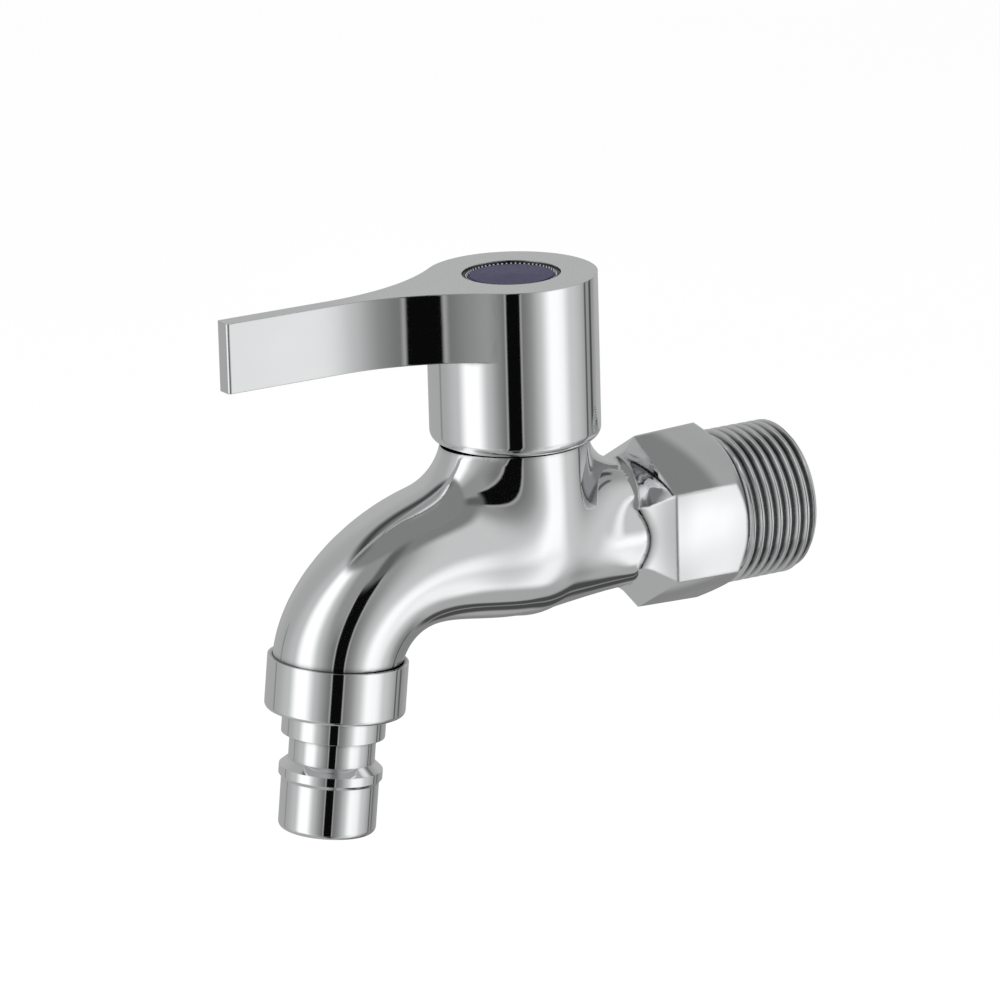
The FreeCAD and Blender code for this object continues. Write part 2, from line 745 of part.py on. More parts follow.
def make_fixed_disc():
    """Makes the lower disc, kept from turning by two keys in the barrel's slots."""
    body = make_disc("fixed_ceramic_disc", "disc_radius", "fixed_disc_bottom", "fixed_disc_thickness", "0")
    key = new_sketch(body, "key", plane="XY_Plane", out="fixed_disc_bottom")
    half_key = "key_width / 2"
    outer = "-barrel_radius + key_gap"
    inner = "-disc_radius + key_root"
    draw_outline(key, [("-" + half_key, outer), (half_key, outer),
                       (half_key, inner), ("-" + half_key, inner)])
    key_pad = extrude(body, "key_pad", key, "fixed_disc_thickness")
    repeat_round(body, "keys", key_pad, key, 2)
    return body


def make_moving_disc():
    """Makes the upper disc, turned by the spindle's tang in its slot."""
    body = make_disc("moving_ceramic_disc", "disc_radius - disc_gap", "moving_disc_bottom",
                     "moving_disc_thickness", "90")
    slot = new_sketch(body, "slot", plane="XY_Plane", out="moving_disc_top")
    half_length = "disc_radius"
    half_width = "(tang_width / 2 + tang_gap)"
    draw_outline(slot, [("-" + half_length, "-" + half_width), (half_length, "-" + half_width),
                        (half_length, half_width), ("-" + half_length, half_width)])
    extrude(body, "slot_cut", slot, "tang_depth + tang_gap - spindle_flange_gap", cut=True)
    return body


def make_seals():
    """Makes the seat seal with its support ring and the seal under the housing's flange."""
    ring_piece("seat_seal", "support_ring_radius", "barrel_bore_radius - seal_gap",
               "seat_top", "fixed_disc_bottom", **on_valve_axis())
    ring_piece("seal_support_ring", "support_ring_bore", "support_ring_radius",
               "fixed_disc_bottom - support_ring_height", "fixed_disc_bottom", **on_valve_axis())
    ring_piece("housing_seal", "chamber_thread_radius", "housing_flange_radius",
               "collar_top", "flange_bottom", **on_valve_axis())


# The spindle and what turns with it

def make_spindle():
    """Makes the spindle with its tang, stop lugs, ring grooves and splined head."""
    body = new_body("spindle", **on_valve_axis())
    lower_groove = "housing_shoulder + lower_ring_rise"
    upper_groove = "housing_shoulder + upper_ring_rise"
    outline = [("0", "spindle_flange_bottom"), ("spindle_flange_radius", "spindle_flange_bottom"),
               ("spindle_flange_radius", "spindle_flange_top"), ("spindle_radius", "spindle_flange_top")]
    for groove, radius, width in (
            (lower_groove, "ring_groove_radius", "ring_groove_width"),
            (upper_groove, "ring_groove_radius", "ring_groove_width"),
            ("housing_top + circlip_gap / 2", "circlip_groove_radius", "circlip_groove_width")):
        outline += [("spindle_radius", groove), (radius, groove), (radius, groove + " + " + width),
                    ("spindle_radius", groove + " + " + width)]
    outline += [("spindle_radius", "spline_bottom"), ("spline_radius", "spline_bottom"),
                ("spline_radius", "spindle_top"), ("screw_radius + screw_tap_gap", "spindle_top"),
                ("screw_radius + screw_tap_gap", "spindle_top - screw_tap_depth"),
                ("0", "spindle_top - screw_tap_depth")]
    spin(body, "turned", outline)

    groove = new_sketch(body, "spline_groove", plane="XY_Plane", out="spline_bottom")
    mouth = "(spline_radius * sin(180 / spline_count) - spline_land / 2)"
    root = "spline_root_width / 2"
    outer = "spline_radius + spline_depth"
    draw_outline(groove, [(root, "spline_root_radius"), (mouth, "spline_radius"), (mouth, outer),
                          ("-" + mouth, outer), ("-" + mouth, "spline_radius"),
                          ("-" + root, "spline_root_radius")])
    groove_cut = extrude(body, "spline_cut", groove, "spline_length", cut=True, reverse=True)
    repeat_round(body, "splines", groove_cut, groove, "spline_count")

    lug = new_sketch(body, "stop_lug", plane="XY_Plane", out="spindle_flange_bottom + stop_lug_inset")
    draw_sector(lug, "spindle_flange_radius - cut_margin", "stop_lug_reach", "stop_lug_half_angle",
                "270 - handle_travel / 2")
    lug_pad = extrude(body, "stop_lug_pad", lug, "spindle_flange_thickness - 2 * stop_lug_inset")
    repeat_round(body, "stop_lugs", lug_pad, lug, 2)

    tang = new_sketch(body, "tang", plane="XY_Plane", out="spindle_flange_bottom")
    draw_outline(tang, [("-tang_length / 2", "-tang_width / 2"), ("tang_length / 2", "-tang_width / 2"),
                        ("tang_length / 2", "tang_width / 2"), ("-tang_length / 2", "tang_width / 2")])
    extrude(body, "tang_pad", tang, "tang_depth", reverse=True)
    return body


def make_spindle_ring(label, rise):
    """Makes an O-ring in its groove on the spindle."""
    ring = doc.addObject("Part::Torus", label)
    ring.Label = label
    bind(ring, Radius1="ring_groove_radius + ring_section_radius", Radius2="ring_section_radius",
         Placement__Base__y=on_valve_axis()["along"],
         Placement__Base__z="housing_shoulder + " + rise + " + ring_groove_width / 2")
    PIECES.append(ring)
    return ring


def make_circlip():
    """Makes the open ring that holds the spindle up in the housing."""
    body = new_body("circlip", **on_valve_axis())
    ring = new_sketch(body, "ring", plane="XY_Plane", out="circlip_bottom")
    draw_sector(ring, "circlip_groove_radius", "circlip_radius", "circlip_half_angle", "90")
    extrude(body, "ring_pad", ring, "circlip_thickness")
    return body


def make_thrust_washer():
    """Makes the slippery washer between the spindle's flange and the housing."""
    return ring_piece("thrust_washer", "stem_bore_radius", "spindle_flange_radius",
                      "spindle_flange_top", "spindle_flange_top + thrust_washer_thickness", **on_valve_axis())


# The handle with its screw, washer, index ring and button

def draw_teardrop(sketch):
    """Draws the lever's outline from above: a round head, two hollow flanks and a thin blade."""
    head = value("sleeve_radius")
    sweep = value("blade_sweep_radius")
    half = value("blade_thickness / 2")
    reach = value("blade_reach")
    side = half + sweep
    back = math.sqrt((head + sweep) ** 2 - side ** 2)
    lean = math.atan2(back, side)
    centre = Vector(0, 0, 0)
    up = Vector(0, 0, 1)
    arcs = [
        Part.ArcOfCircle(Part.Circle(centre, up, head), -lean, math.pi + lean),
        Part.ArcOfCircle(Part.Circle(Vector(-side, -back, 0), up, sweep), 0, lean),
        Part.ArcOfCircle(Part.Circle(Vector(side, -back, 0), up, sweep), math.pi - lean, math.pi),
    ]
    lines = [
        Part.LineSegment(Vector(-half, -back, 0), Vector(-half, -reach, 0)),
        Part.LineSegment(Vector(-half, -reach, 0), Vector(half, -reach, 0)),
        Part.LineSegment(Vector(half, -reach, 0), Vector(half, -back, 0)),
    ]
    round_head, left_flank, right_flank = [sketch.addGeometry(arc, False) for arc in arcs]
    left_side, tip, right_side = [sketch.addGeometry(line, False) for line in lines]
    constrain(sketch, "Coincident", round_head, 3, -1, 1)
    constrain(sketch, "Radius", round_head, size="sleeve_radius")
    constrain(sketch, "Tangent", round_head, 2, left_flank, 2)
    constrain(sketch, "Tangent", left_flank, 1, left_side, 1)
    constrain(sketch, "Coincident", left_side, 2, tip, 1)
    constrain(sketch, "Coincident", tip, 2, right_side, 1)
    constrain(sketch, "Tangent", right_side, 2, right_flank, 2)
    constrain(sketch, "Tangent", right_flank, 1, round_head, 1)
    constrain(sketch, "Radius", left_flank, size="blade_sweep_radius")
    constrain(sketch, "Radius", right_flank, size="blade_sweep_radius")
    constrain(sketch, "Symmetric", tip, 1, tip, 2, -2)
    constrain(sketch, "Vertical", left_side)
    constrain(sketch, "Vertical", right_side)
    constrain(sketch, "DistanceX", -1, 1, tip, 2, size="blade_thickness / 2")
    constrain(sketch, "DistanceY", -1, 1, tip, 2, size="-blade_reach")


def make_handle_lever():
    """Makes the lever handle: a round sleeve whose crown runs out into the blade."""
    body = new_body("handle_lever", **on_valve_axis())
    sleeve = new_sketch(body, "sleeve", plane="XY_Plane", out="sleeve_bottom")
    draw_circle(sleeve, "sleeve_radius")
    extrude(body, "sleeve_pad", sleeve, "sleeve_height - blade_height")
    round_edges(body, "sleeve_bottom_round", "sleeve_round", circle_at("sleeve_radius", "sleeve_bottom"))
    crown = new_sketch(body, "crown", plane="XY_Plane", out="blade_bottom")
    draw_teardrop(crown)
    extrude(body, "crown_pad", crown, "blade_height")
    round_edges(body, "tip_round", "blade_tip_round", blade_tip)

    socket = "spline_root_radius + spline_gap"
    spin(body, "inside", [
        ("0", "sleeve_bottom"),
        ("sleeve_bore_radius", "sleeve_bottom"),
        ("sleeve_bore_radius", "handle_top - crown_thickness"),
        ("hub_radius", "handle_top - crown_thickness"),
        ("hub_radius", "spline_bottom + hub_gap"),
        (socket, "spline_bottom + hub_gap"),
        (socket, "web_bottom"),
        ("screw_radius + screw_hole_gap", "web_bottom"),
        ("screw_radius + screw_hole_gap", "screw_seat"),
        ("screw_well_radius", "screw_seat"),
        ("screw_well_radius", "recess_floor"),
        ("recess_radius", "recess_floor"),
        ("recess_radius", "handle_top"),
        ("0", "handle_top"),
    ], cut=True)
    notch = new_sketch(body, "spline_notch", plane="XY_Plane", out="spline_bottom + hub_gap",
                       turn="180 / spline_count")
    base = "(spline_root_radius * sin(180 / spline_count) - spline_root_width / 2 + spline_gap)"
    land = "(spline_land / 2 + spline_gap)"
    draw_outline(notch, [("-" + base, "spline_root_radius"), (base, "spline_root_radius"),
                         (land, "spline_radius + spline_gap"), ("-" + land, "spline_radius + spline_gap")])
    notch_cut = extrude(body, "spline_notch_cut", notch, "web_bottom - spline_bottom - hub_gap", cut=True,
                        reverse=True)
    repeat_round(body, "spline_notches", notch_cut, notch, "spline_count")
    return body


def blade_tip(shape, edge):
    """Picks the two upright edges at the blade's tip."""
    box = edge.BoundBox
    upright = box.XLength < SAME and box.YLength < SAME
    return upright and abs(box.YMin + value("blade_reach")) < SAME


def make_handle_screw():
    """Makes the screw that holds the handle on the spindle."""
    body = new_body("handle_screw", **on_valve_axis())
    spin(body, "turned", [
        ("0", "spindle_top - screw_engagement"),
        ("screw_radius", "spindle_top - screw_engagement"),
        ("screw_radius", "screw_head_bottom"),
        ("screw_head_radius", "screw_head_bottom"),
        ("screw_head_radius", "screw_head_bottom + screw_head_height - screw_head_round"),
        ("screw_head_radius - screw_head_round", "screw_head_bottom + screw_head_height"),
        ("0", "screw_head_bottom + screw_head_height"),
    ])
    slot = new_sketch(body, "slot", plane="XY_Plane", out="screw_head_bottom + screw_head_height")
    half = "screw_slot_width / 2"
    arm = "screw_slot_length / 2"
    draw_outline(slot, [(half, half), (arm, half), (arm, "-" + half), (half, "-" + half), (half, "-" + arm),
                        ("-" + half, "-" + arm), ("-" + half, "-" + half), ("-" + arm, "-" + half),
                        ("-" + arm, half), ("-" + half, half), ("-" + half, arm), (half, arm)])
    extrude(body, "slot_cut", slot, "screw_slot_depth", cut=True)
    ring_piece("screw_washer", "screw_radius + screw_hole_gap", "screw_washer_radius",
               "screw_seat", "screw_head_bottom", **on_valve_axis())
    return body


def make_index_ring():
    """Makes the toothed ring in the handle's recess."""
    body = ring_piece("index_ring", "index_ring_bore", "index_ring_radius", "recess_floor", "index_top",
                      **on_valve_axis())
    tooth_gap = new_sketch(body, "tooth_gap", plane="XY_Plane", out="recess_floor")
    half = "(index_ring_bore * sin(180 / index_tooth_count) * index_tooth_share)"
    draw_outline(tooth_gap, [("-" + half, "index_ring_bore - index_tooth_depth"),
                             (half, "index_ring_bore - index_tooth_depth"),
                             (half, "index_ring_bore"), ("0", "index_ring_bore + index_tooth_depth"),
                             ("-" + half, "index_ring_bore")])
    gap_cut = extrude(body, "tooth_gap_cut", tooth_gap, "recess_depth", cut=True, reverse=True)
    repeat_round(body, "tooth_gaps", gap_cut, tooth_gap, "index_tooth_count")
    return body


def make_index_disc():
    """Makes the coloured button, a thin cap with a skirt and a gently crowned face."""
    body = new_body("index_disc", **on_valve_axis())
    spin(body, "cap", [
        ("0", "recess_floor + button_hollow"),
        ("button_radius - button_skirt", "recess_floor + button_hollow"),
        ("button_radius - button_skirt", "recess_floor"),
        ("button_radius", "recess_floor"),
        ("button_radius", "index_top - button_edge"),
        ("button_radius - button_edge", "index_top"),
        ("0", "index_top + button_rise"),
    ])
    return body


def check_and_write():
    """Rebuilds the model, stops on any failed piece and writes one file for each piece."""
    doc.recompute()
    for item in doc.Objects:
        if "Invalid" in item.State or "Error" in item.State:
            raise ValueError(item.Name + " failed: " + str(item.State))
    for piece in PIECES:
        if piece.Shape.isNull() or not piece.Shape.isValid() or not piece.Shape.Solids:
            raise ValueError(piece.Label + " has no valid solid")
    os.makedirs("parts", exist_ok=True)
    for piece in PIECES:
        piece.Shape.exportStep("parts/" + piece.Label + ".step")
        print("%-24s solids %d  volume %.1f" % (piece.Label, len(piece.Shape.Solids), piece.Shape.Volume))


make_body_casting()
make_nozzle_nut()
make_hose_nipple()
make_nozzle_washer()
make_cartridge_housing()
make_fixed_disc()
make_moving_disc()
make_seals()
make_spindle()
make_spindle_ring("spindle_o_ring_lower", "lower_ring_rise")
make_spindle_ring("spindle_o_ring_upper", "upper_ring_rise")
make_circlip()
make_thrust_washer()
make_handle_lever()
make_handle_screw()
make_index_ring()
make_index_disc()
check_and_write()
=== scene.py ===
"""Looks of the wall-mounted tap: its finishes, its cut thread, a pale floor and a soft studio.

Two nodes are replaced by copies with the same outline: the casting, whose copy has the thread cut into its
tail and its cast forms blended, and the lever, whose copy has the sides of its blade leant.
"""

import json
import math
from collections import namedtuple

import bpy
from mathutils import Matrix, Vector
from mathutils.kdtree import KDTree


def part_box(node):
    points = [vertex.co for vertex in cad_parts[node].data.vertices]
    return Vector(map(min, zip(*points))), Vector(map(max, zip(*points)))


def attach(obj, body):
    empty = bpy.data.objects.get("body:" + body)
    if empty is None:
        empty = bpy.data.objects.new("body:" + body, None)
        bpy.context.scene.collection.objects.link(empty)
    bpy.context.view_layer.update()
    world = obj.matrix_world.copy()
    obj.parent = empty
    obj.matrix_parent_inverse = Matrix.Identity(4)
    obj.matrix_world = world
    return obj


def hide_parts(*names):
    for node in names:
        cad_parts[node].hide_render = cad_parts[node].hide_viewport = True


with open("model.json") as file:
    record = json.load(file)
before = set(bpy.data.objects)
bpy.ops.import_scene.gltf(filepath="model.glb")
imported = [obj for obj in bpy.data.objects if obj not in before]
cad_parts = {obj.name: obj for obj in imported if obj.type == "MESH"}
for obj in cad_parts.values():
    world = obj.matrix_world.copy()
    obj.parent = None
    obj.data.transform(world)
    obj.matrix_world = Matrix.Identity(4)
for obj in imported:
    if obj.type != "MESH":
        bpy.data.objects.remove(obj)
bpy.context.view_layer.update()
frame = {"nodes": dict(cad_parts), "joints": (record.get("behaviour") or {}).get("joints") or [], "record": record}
nodes = frame["nodes"]

# The wall thread's sizes and the valve's place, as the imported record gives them
inlet = next(mount["dims"] for mount in frame["record"]["mounts"] if mount["name"] == "inlet_thread")
valve = next(joint["pos_m"] for joint in frame["joints"] if joint["name"] == "handle_turn")

MM = 0.001
UP = (0.0, 0.0, 1.0)
TAIL_AXIS = (0.0, 1.0, 0.0)
TAIL_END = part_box("body_casting")[1].y

# The photograph's camera: its place is told from the centre of the tail's end face
CAMERA_PLACE = Vector((0.971297, TAIL_END - 0.631374, 0.333257))
CAMERA_RIGHT = Vector((0.516299, 0.856019, -0.025827))
CAMERA_UP = Vector((-0.224008, 0.164093, 0.960674))
CAMERA_LENS = 252.54
CAMERA_SENSOR = 36.0
CAMERA_REACH = 50.0
CAMERA_TURN = math.radians(59.33)
TO_CAMERA = Vector((math.sin(CAMERA_TURN), -math.cos(CAMERA_TURN), 0.0))
ACROSS = Vector((-TO_CAMERA.y, TO_CAMERA.x, 0.0))

# The wall thread and the relief after it, in millimetres. The flanks are steeper than a plain zigzag's,
# which leaves flat crests and roots.
THREAD_RADIUS = inlet["r_mm"]
THREAD_PITCH = 1.814
THREAD_DEPTH = 1.162
THREAD_STEEPNESS = 1.5
THREAD_CHAMFER = 1.0
RELIEF_RADIUS = 12.4
RELIEF_START = round(THREAD_CHAMFER + inlet["length_mm"], 3)
RELIEF_END = round(RELIEF_START + THREAD_RADIUS - RELIEF_RADIUS, 3)
SAMPLES_PER_PITCH = 12
TURN_STEPS = 144

# The other forms, in millimetres: depths are told from the wall end, heights from the wall thread's axis
HEX_START = 14.7
HEX_END = 28.6
PYRAMID_END = 33.2
NECK_EDGE = 10.0
VALVE_SETBACK = round((TAIL_END - valve[1]) / MM, 3)
SLEEVE_RADIUS = 14.4
TOOTH_TIP_RADIUS = 7.55
TOOTH_DEPTH = 0.4

# By how many millimetres a face or place may lie off the form that it is counted to. LEAST_OUTWARD is the
# least cosine between a face of the plain tail and the direction away from its axis.
EDGE_ROOM = 0.1
FLOOR_ROOM = 0.2
TAIL_ROOM = 0.3
FOOT_ROOM = 0.5
SLEEVE_ROOM = 0.02
LEAST_OUTWARD = 0.5

# The blend of surface directions, in millimetres: where the casting's starts, is full and stops, and how
# far it reaches and how wide its bell curve is. SAME_SIDE is the least cosine between two that blend, and
# a point's directions that agree to NORMAL_DIGITS decimals are one. Triangles up to SPLIT_TOP are split
# until no edge is over LONGEST_EDGE.
BLEND_START = 32.0
BLEND_FULL = 36.0
BLEND_TOP = 18.4
BLEND_REACH = 7.0
BLEND_WIDTH = 3.0
SAME_SIDE = 0.3
NORMAL_DIGITS = 2
LONGEST_EDGE = 1.8
SPLIT_TOP = 18.9

# The crease at the pyramid's foot, in degrees: the lean of the pyramid's sides, the lean of the cast curve
# from which on they are flat, and the angle between two sides
PYRAMID_LEAN = 45.6
FOOT_LEAN = 20.0
SIDE_ANGLE = 60.0

# The body's sides between tower and spout: their lean in degrees, and where it rises and fades, in
# millimetres in front of the valve's axis and above the thread's. It sets in with how far a direction
# points sideways.
SHOULDER_LEAN = 7.0
SHOULDER_START = -3.0
SHOULDER_FULL = 4.0
SHOULDER_END = 15.0
SHOULDER_FADE = 6.0
SHOULDER_TOP = 17.0
SHOULDER_TOP_FADE = 7.0
SHOULDER_SIDEWAYS = (0.5, 0.9)

# The sides of the lever's blade: their lean in degrees, where it rises and where the blend stops, in
# millimetres in front of the valve's axis, and the limits of the directions that count as a side's
BLADE_LEAN = 7.5
BLADE_START = 9.0
BLADE_FULL = 12.5
BLADE_END = 48.0
MOST_UPWARD = 0.2
LEAST_SIDEWAYS = 0.4

# The hexagon's buffed flats: how much their directions bend round the axis, and along it at the hexagon's
# ends and on the pyramid, and over how many millimetres the bend fades out at the neck
PILLOW_ROUND = 0.22
PILLOW_ENDS = 0.10
PILLOW_PYRAMID = 0.14
PILLOW_FADE = 1.2

# The finishes: pairs go from a noise's low to its high values, and noises have so many cells to the metre.
# The satin sets in between two cosines to straight up. Painted shade darkens crevices over CREVICE millimetres.
CHROME = ((0.86, 0.87, 0.88), (0.90, 0.905, 0.91))
WORN_CHROME = ((0.82, 0.83, 0.84), (0.90, 0.905, 0.91))
# The relief's dark colours are painted shade on the floor of the groove
RELIEF_PAINTED_SHADE = ((0.05, 0.05, 0.055), (0.10, 0.10, 0.105))
SATIN_GLOSS = (0.24, 0.3)
SATIN_UPWARD = (0.985, 0.998)
PLATING_CELLS = 140.0
GLOSS_CELLS = 1500.0
SATIN_CELLS = 900.0
WAVE_CELLS = 75.0
RING_CELLS = 1200.0
FLOOR_CELLS = 3.0
NOISE_HIGH = 0.7
CREVICE = 1.3
CREVICE_OPEN = (0.4, 0.9)
CREVICE_PAINTED_SHADE = (0.03, 0.03, 0.032)
SHADING_SAMPLES = 6

# The index ring's painted shade and gloss, and the shares of a tooth's depth where its painted highlight ends
RING_PAINTED_SHADE = ((0.006, 0.006, 0.008), (0.012, 0.012, 0.015))
RING_GLOSS = (0.3, 0.45)
TOOTH_PAINTED_HIGHLIGHT = (0.82, 0.83, 0.85)
PAINTED_HIGHLIGHT_END = (0.1, 0.35)

# The numbers of a mix node's sockets, as several of them share a name
NUMBER_LOW, NUMBER_HIGH, NUMBER_OUT = 2, 3, 0
COLOUR_LOW, COLOUR_HIGH, COLOUR_OUT = 6, 7, 2

# The surroundings, in metres. The camera sees the floor lifted to white, and matt things a plain world.
WHITE = (1.0, 1.0, 1.0, 1.0)
MATT_WORLD = 0.78
FLOOR_RADIUS = 4.0
FLOOR_LEVEL = -0.6
FLOOR_SIDES = 120
FLOOR_GREY = ((0.80, 0.80, 0.80), (0.82, 0.82, 0.82))
FLOOR_LIFT = 0.34
LAMP_SIZE = 1.2
LAMP_ENERGY = 9.0
LAMP_PLACE = (0.35, TAIL_END - 0.6, 1.3)
LAMP_AIM = Vector((0.0, TAIL_END - 0.05, 0.0))


class Graph:
    """A node tree that is put together with few words. Each input is given as a value or as a socket."""

    def __init__(self, tree):
        self.tree = tree
        tree.nodes.clear()

    def node(self, kind, inputs=None, **settings):
        """Makes a node, changes its settings and feeds its inputs, which go by name or by number."""
        made = self.tree.nodes.new(kind)
        for name, setting in settings.items():
            setattr(made, name, setting)
        for name, given in (inputs or {}).items():
            self.feed(made, name, given)
        return made

    def feed(self, made, name, given):
        """Links a socket to a node's input, or sets the input to a value."""
        socket = made.inputs[name]
        if isinstance(given, bpy.types.NodeSocket):
            self.tree.links.new(given, socket)
        else:
            socket.default_value = given

    def math(self, operation, first, second=0.0, third=0.0):
        """Works out a number from up to three numbers."""
        made = self.node("ShaderNodeMath", {0: first, 1: second, 2: third}, operation=operation)
        return made.outputs[0]

    def product(self, factors):
        """Multiplies two or more numbers."""
        total = factors[0]
        for factor in factors[1:]:
            total = self.math("MULTIPLY", total, factor)
        return total

    def vector(self, operation, first, second=(0.0, 0.0, 0.0)):
        """Works out a vector from one or two vectors."""
        made = self.node("ShaderNodeVectorMath", {0: first, 1: second}, operation=operation)
        return made.outputs["Vector"]

    def dot(self, first, second):
        """Gives the dot product of two vectors."""
        made = self.node("ShaderNodeVectorMath", {0: first, 1: second}, operation="DOT_PRODUCT")
        return made.outputs["Value"]

    def length(self, vector):
        """Gives a vector's length."""
        return self.node("ShaderNodeVectorMath", {0: vector}, operation="LENGTH").outputs["Value"]

    def scaled(self, vector, size):
        """Makes a vector longer or shorter."""
        made = self.node("ShaderNodeVectorMath", {0: vector, "Scale": size}, operation="SCALE")
        return made.outputs["Vector"]

    def rise(self, amount, low, high, to_low=0.0, to_high=1.0):
        """Goes smoothly from to_low to to_high while the amount goes from low to high."""
        made = self.node("ShaderNodeMapRange", {"Value": amount, "From Min": low, "From Max": high,
                                                "To Min": to_low, "To Max": to_high},
                         interpolation_type="SMOOTHSTEP")
        return made.outputs["Result"]

    def between(self, amount, ends, softness):
        """Gives two factors: one rises to 1 at the low end, and the other falls to 0 at the high end."""
        low, high = ends
        low_soft, high_soft = softness
        return [self.rise(amount, low - low_soft, low + low_soft),
                self.rise(amount, high - high_soft, high + high_soft, 1.0, 0.0)]

    def noise(self, cells, detail=3.0, roughness=0.5, stretch=None):
        """Gives a noise with so many cells to the metre."""
        place = self.node("ShaderNodeTexCoord").outputs["Object"]
        if stretch:
            place = self.node("ShaderNodeMapping", {"Vector": place, "Scale": stretch}).outputs["Vector"]
        made = self.node("ShaderNodeTexNoise", {"Vector": place, "Scale": cells, "Detail": detail,
                                                "Roughness": roughness})
        return made.outputs["Fac"]

    def varied(self, noise, pair, noise_low=0.3):
        """Goes between a pair of numbers with a noise that lies mostly from noise_low to NOISE_HIGH."""
        return self.rise(noise, noise_low, NOISE_HIGH, *pair)

    def numbers(self, amount, low, high):
        """Mixes two numbers."""
        inputs = {0: amount, NUMBER_LOW: low, NUMBER_HIGH: high}
        return self.node("ShaderNodeMix", inputs, data_type="FLOAT").outputs[NUMBER_OUT]

    def colours(self, amount, low, high):
        """Mixes two colours, each given as three numbers or as a socket."""
        made = self.node("ShaderNodeMix", {0: amount}, data_type="RGBA")
        for number, colour in ((COLOUR_LOW, low), (COLOUR_HIGH, high)):
            self.feed(made, number, colour if isinstance(colour, bpy.types.NodeSocket) else (*colour, 1.0))
        return made.outputs[COLOUR_OUT]


def new_material(name, **sockets):
    """Starts a material and returns it with its graph and its principled shader."""
    material = bpy.data.materials.new(name)
    material.use_nodes = True
    graph = Graph(material.node_tree)
    inputs = {key.replace("_", " "): given for key, given in sockets.items()}
    shader = graph.node("ShaderNodeBsdfPrincipled", inputs)
    graph.node("ShaderNodeOutputMaterial", {"Surface": shader.outputs["BSDF"]})
    return material, graph, shader


def pillowed(graph, normal):
    """Bends the normal outwards towards a flat's edges, as buffing leaves a hexagon's flats."""
    place = graph.node("ShaderNodeTexCoord").outputs["Object"]
    off_axis = (1.0, 0.0, 1.0)
    level = graph.vector("MULTIPLY", normal, off_axis)
    radial = graph.vector("MULTIPLY", place, off_axis)
    outward = graph.scaled(graph.vector("NORMALIZE", radial), graph.length(level))
    spread = graph.vector("SUBTRACT", outward, level)
    share = graph.rise(graph.length(radial), NECK_EDGE * MM, (NECK_EDGE + PILLOW_FADE) * MM)
    bent = graph.vector("ADD", normal, graph.scaled(spread, graph.math("MULTIPLY", share, PILLOW_ROUND)))
    depth = graph.math("SUBTRACT", TAIL_END, graph.dot(place, TAIL_AXIS))
    at_ends = graph.rise(depth, HEX_START * MM, HEX_END * MM, PILLOW_ENDS, -PILLOW_ENDS)
    on_pyramid = graph.rise(depth, HEX_END * MM, PYRAMID_END * MM, 0.0, -PILLOW_PYRAMID)
    push = graph.math("MULTIPLY", graph.math("ADD", at_ends, on_pyramid), share)
    along = graph.node("ShaderNodeCombineXYZ", {"Y": push}).outputs["Vector"]
    return graph.vector("NORMALIZE", graph.vector("ADD", bent, along))


def satin_topped(graph, gloss):
    """Changes the gloss to a satin one where the surface faces up."""
    facing = graph.node("ShaderNodeNewGeometry").outputs["Normal"]
    top = graph.rise(graph.dot(facing, UP), *SATIN_UPWARD)
    satin = graph.varied(graph.noise(SATIN_CELLS, detail=6.0, roughness=0.7), SATIN_GLOSS)
    return graph.math("ADD", graph.math("MULTIPLY", gloss, graph.math("SUBTRACT", 1.0, top)),
                      graph.math("MULTIPLY", satin, top))


def polished(name, colour_pair, gloss_pair, wave=0.02, edge=0.18, satin_top=False, pillow=False):
    """A plated metal: a mirror with faint waves from polishing, painted shade in its crevices and fine changes of
    gloss.

    The waves' height and the radius of the softened edges are in millimetres.
    """
    material, graph, shader = new_material(name, Metallic=1.0)
    plating = graph.colours(graph.noise(PLATING_CELLS, detail=4.0), *colour_pair)
    # Painted shade: the colour darkens towards a near-black where nearby surfaces close in, as shade falls there
    occlusion = graph.node("ShaderNodeAmbientOcclusion", {"Distance": CREVICE * MM}, samples=SHADING_SAMPLES)
    unshaded_share = graph.rise(occlusion.outputs["AO"], *CREVICE_OPEN)
    graph.feed(shader, "Base Color", graph.colours(unshaded_share, CREVICE_PAINTED_SHADE, plating))
    gloss = graph.varied(graph.noise(GLOSS_CELLS, detail=5.0, roughness=0.6), gloss_pair, noise_low=0.35)
    if satin_top:
        gloss = satin_topped(graph, gloss)
    graph.feed(shader, "Roughness", gloss)
    rounding = graph.node("ShaderNodeBevel", {"Radius": edge * MM}, samples=SHADING_SAMPLES)
    normal = rounding.outputs["Normal"]
    if pillow:
        normal = pillowed(graph, normal)
    waves = graph.node("ShaderNodeBump", {"Height": graph.noise(WAVE_CELLS, detail=1.0),
                                          "Distance": wave * MM, "Strength": 1.0, "Normal": normal})
    graph.feed(shader, "Normal", waves.outputs["Normal"])
    return material


def coloured(name, colour_pair, gloss_pair, cells, bump=0.01, stretch=None, **sockets):
    """A plain material with fine changes of its colour and gloss, and bumps so many millimetres high."""
    material, graph, shader = new_material(name, **sockets)
    grain = graph.noise(cells, detail=6.0, roughness=0.6, stretch=stretch)
    graph.feed(shader, "Base Color", graph.colours(grain, *colour_pair))
    graph.feed(shader, "Roughness", graph.varied(grain, gloss_pair))
    relief = graph.node("ShaderNodeBump", {"Height": grain, "Distance": bump * MM, "Strength": 1.0})
    graph.feed(shader, "Normal", relief.outputs["Normal"])
    return material


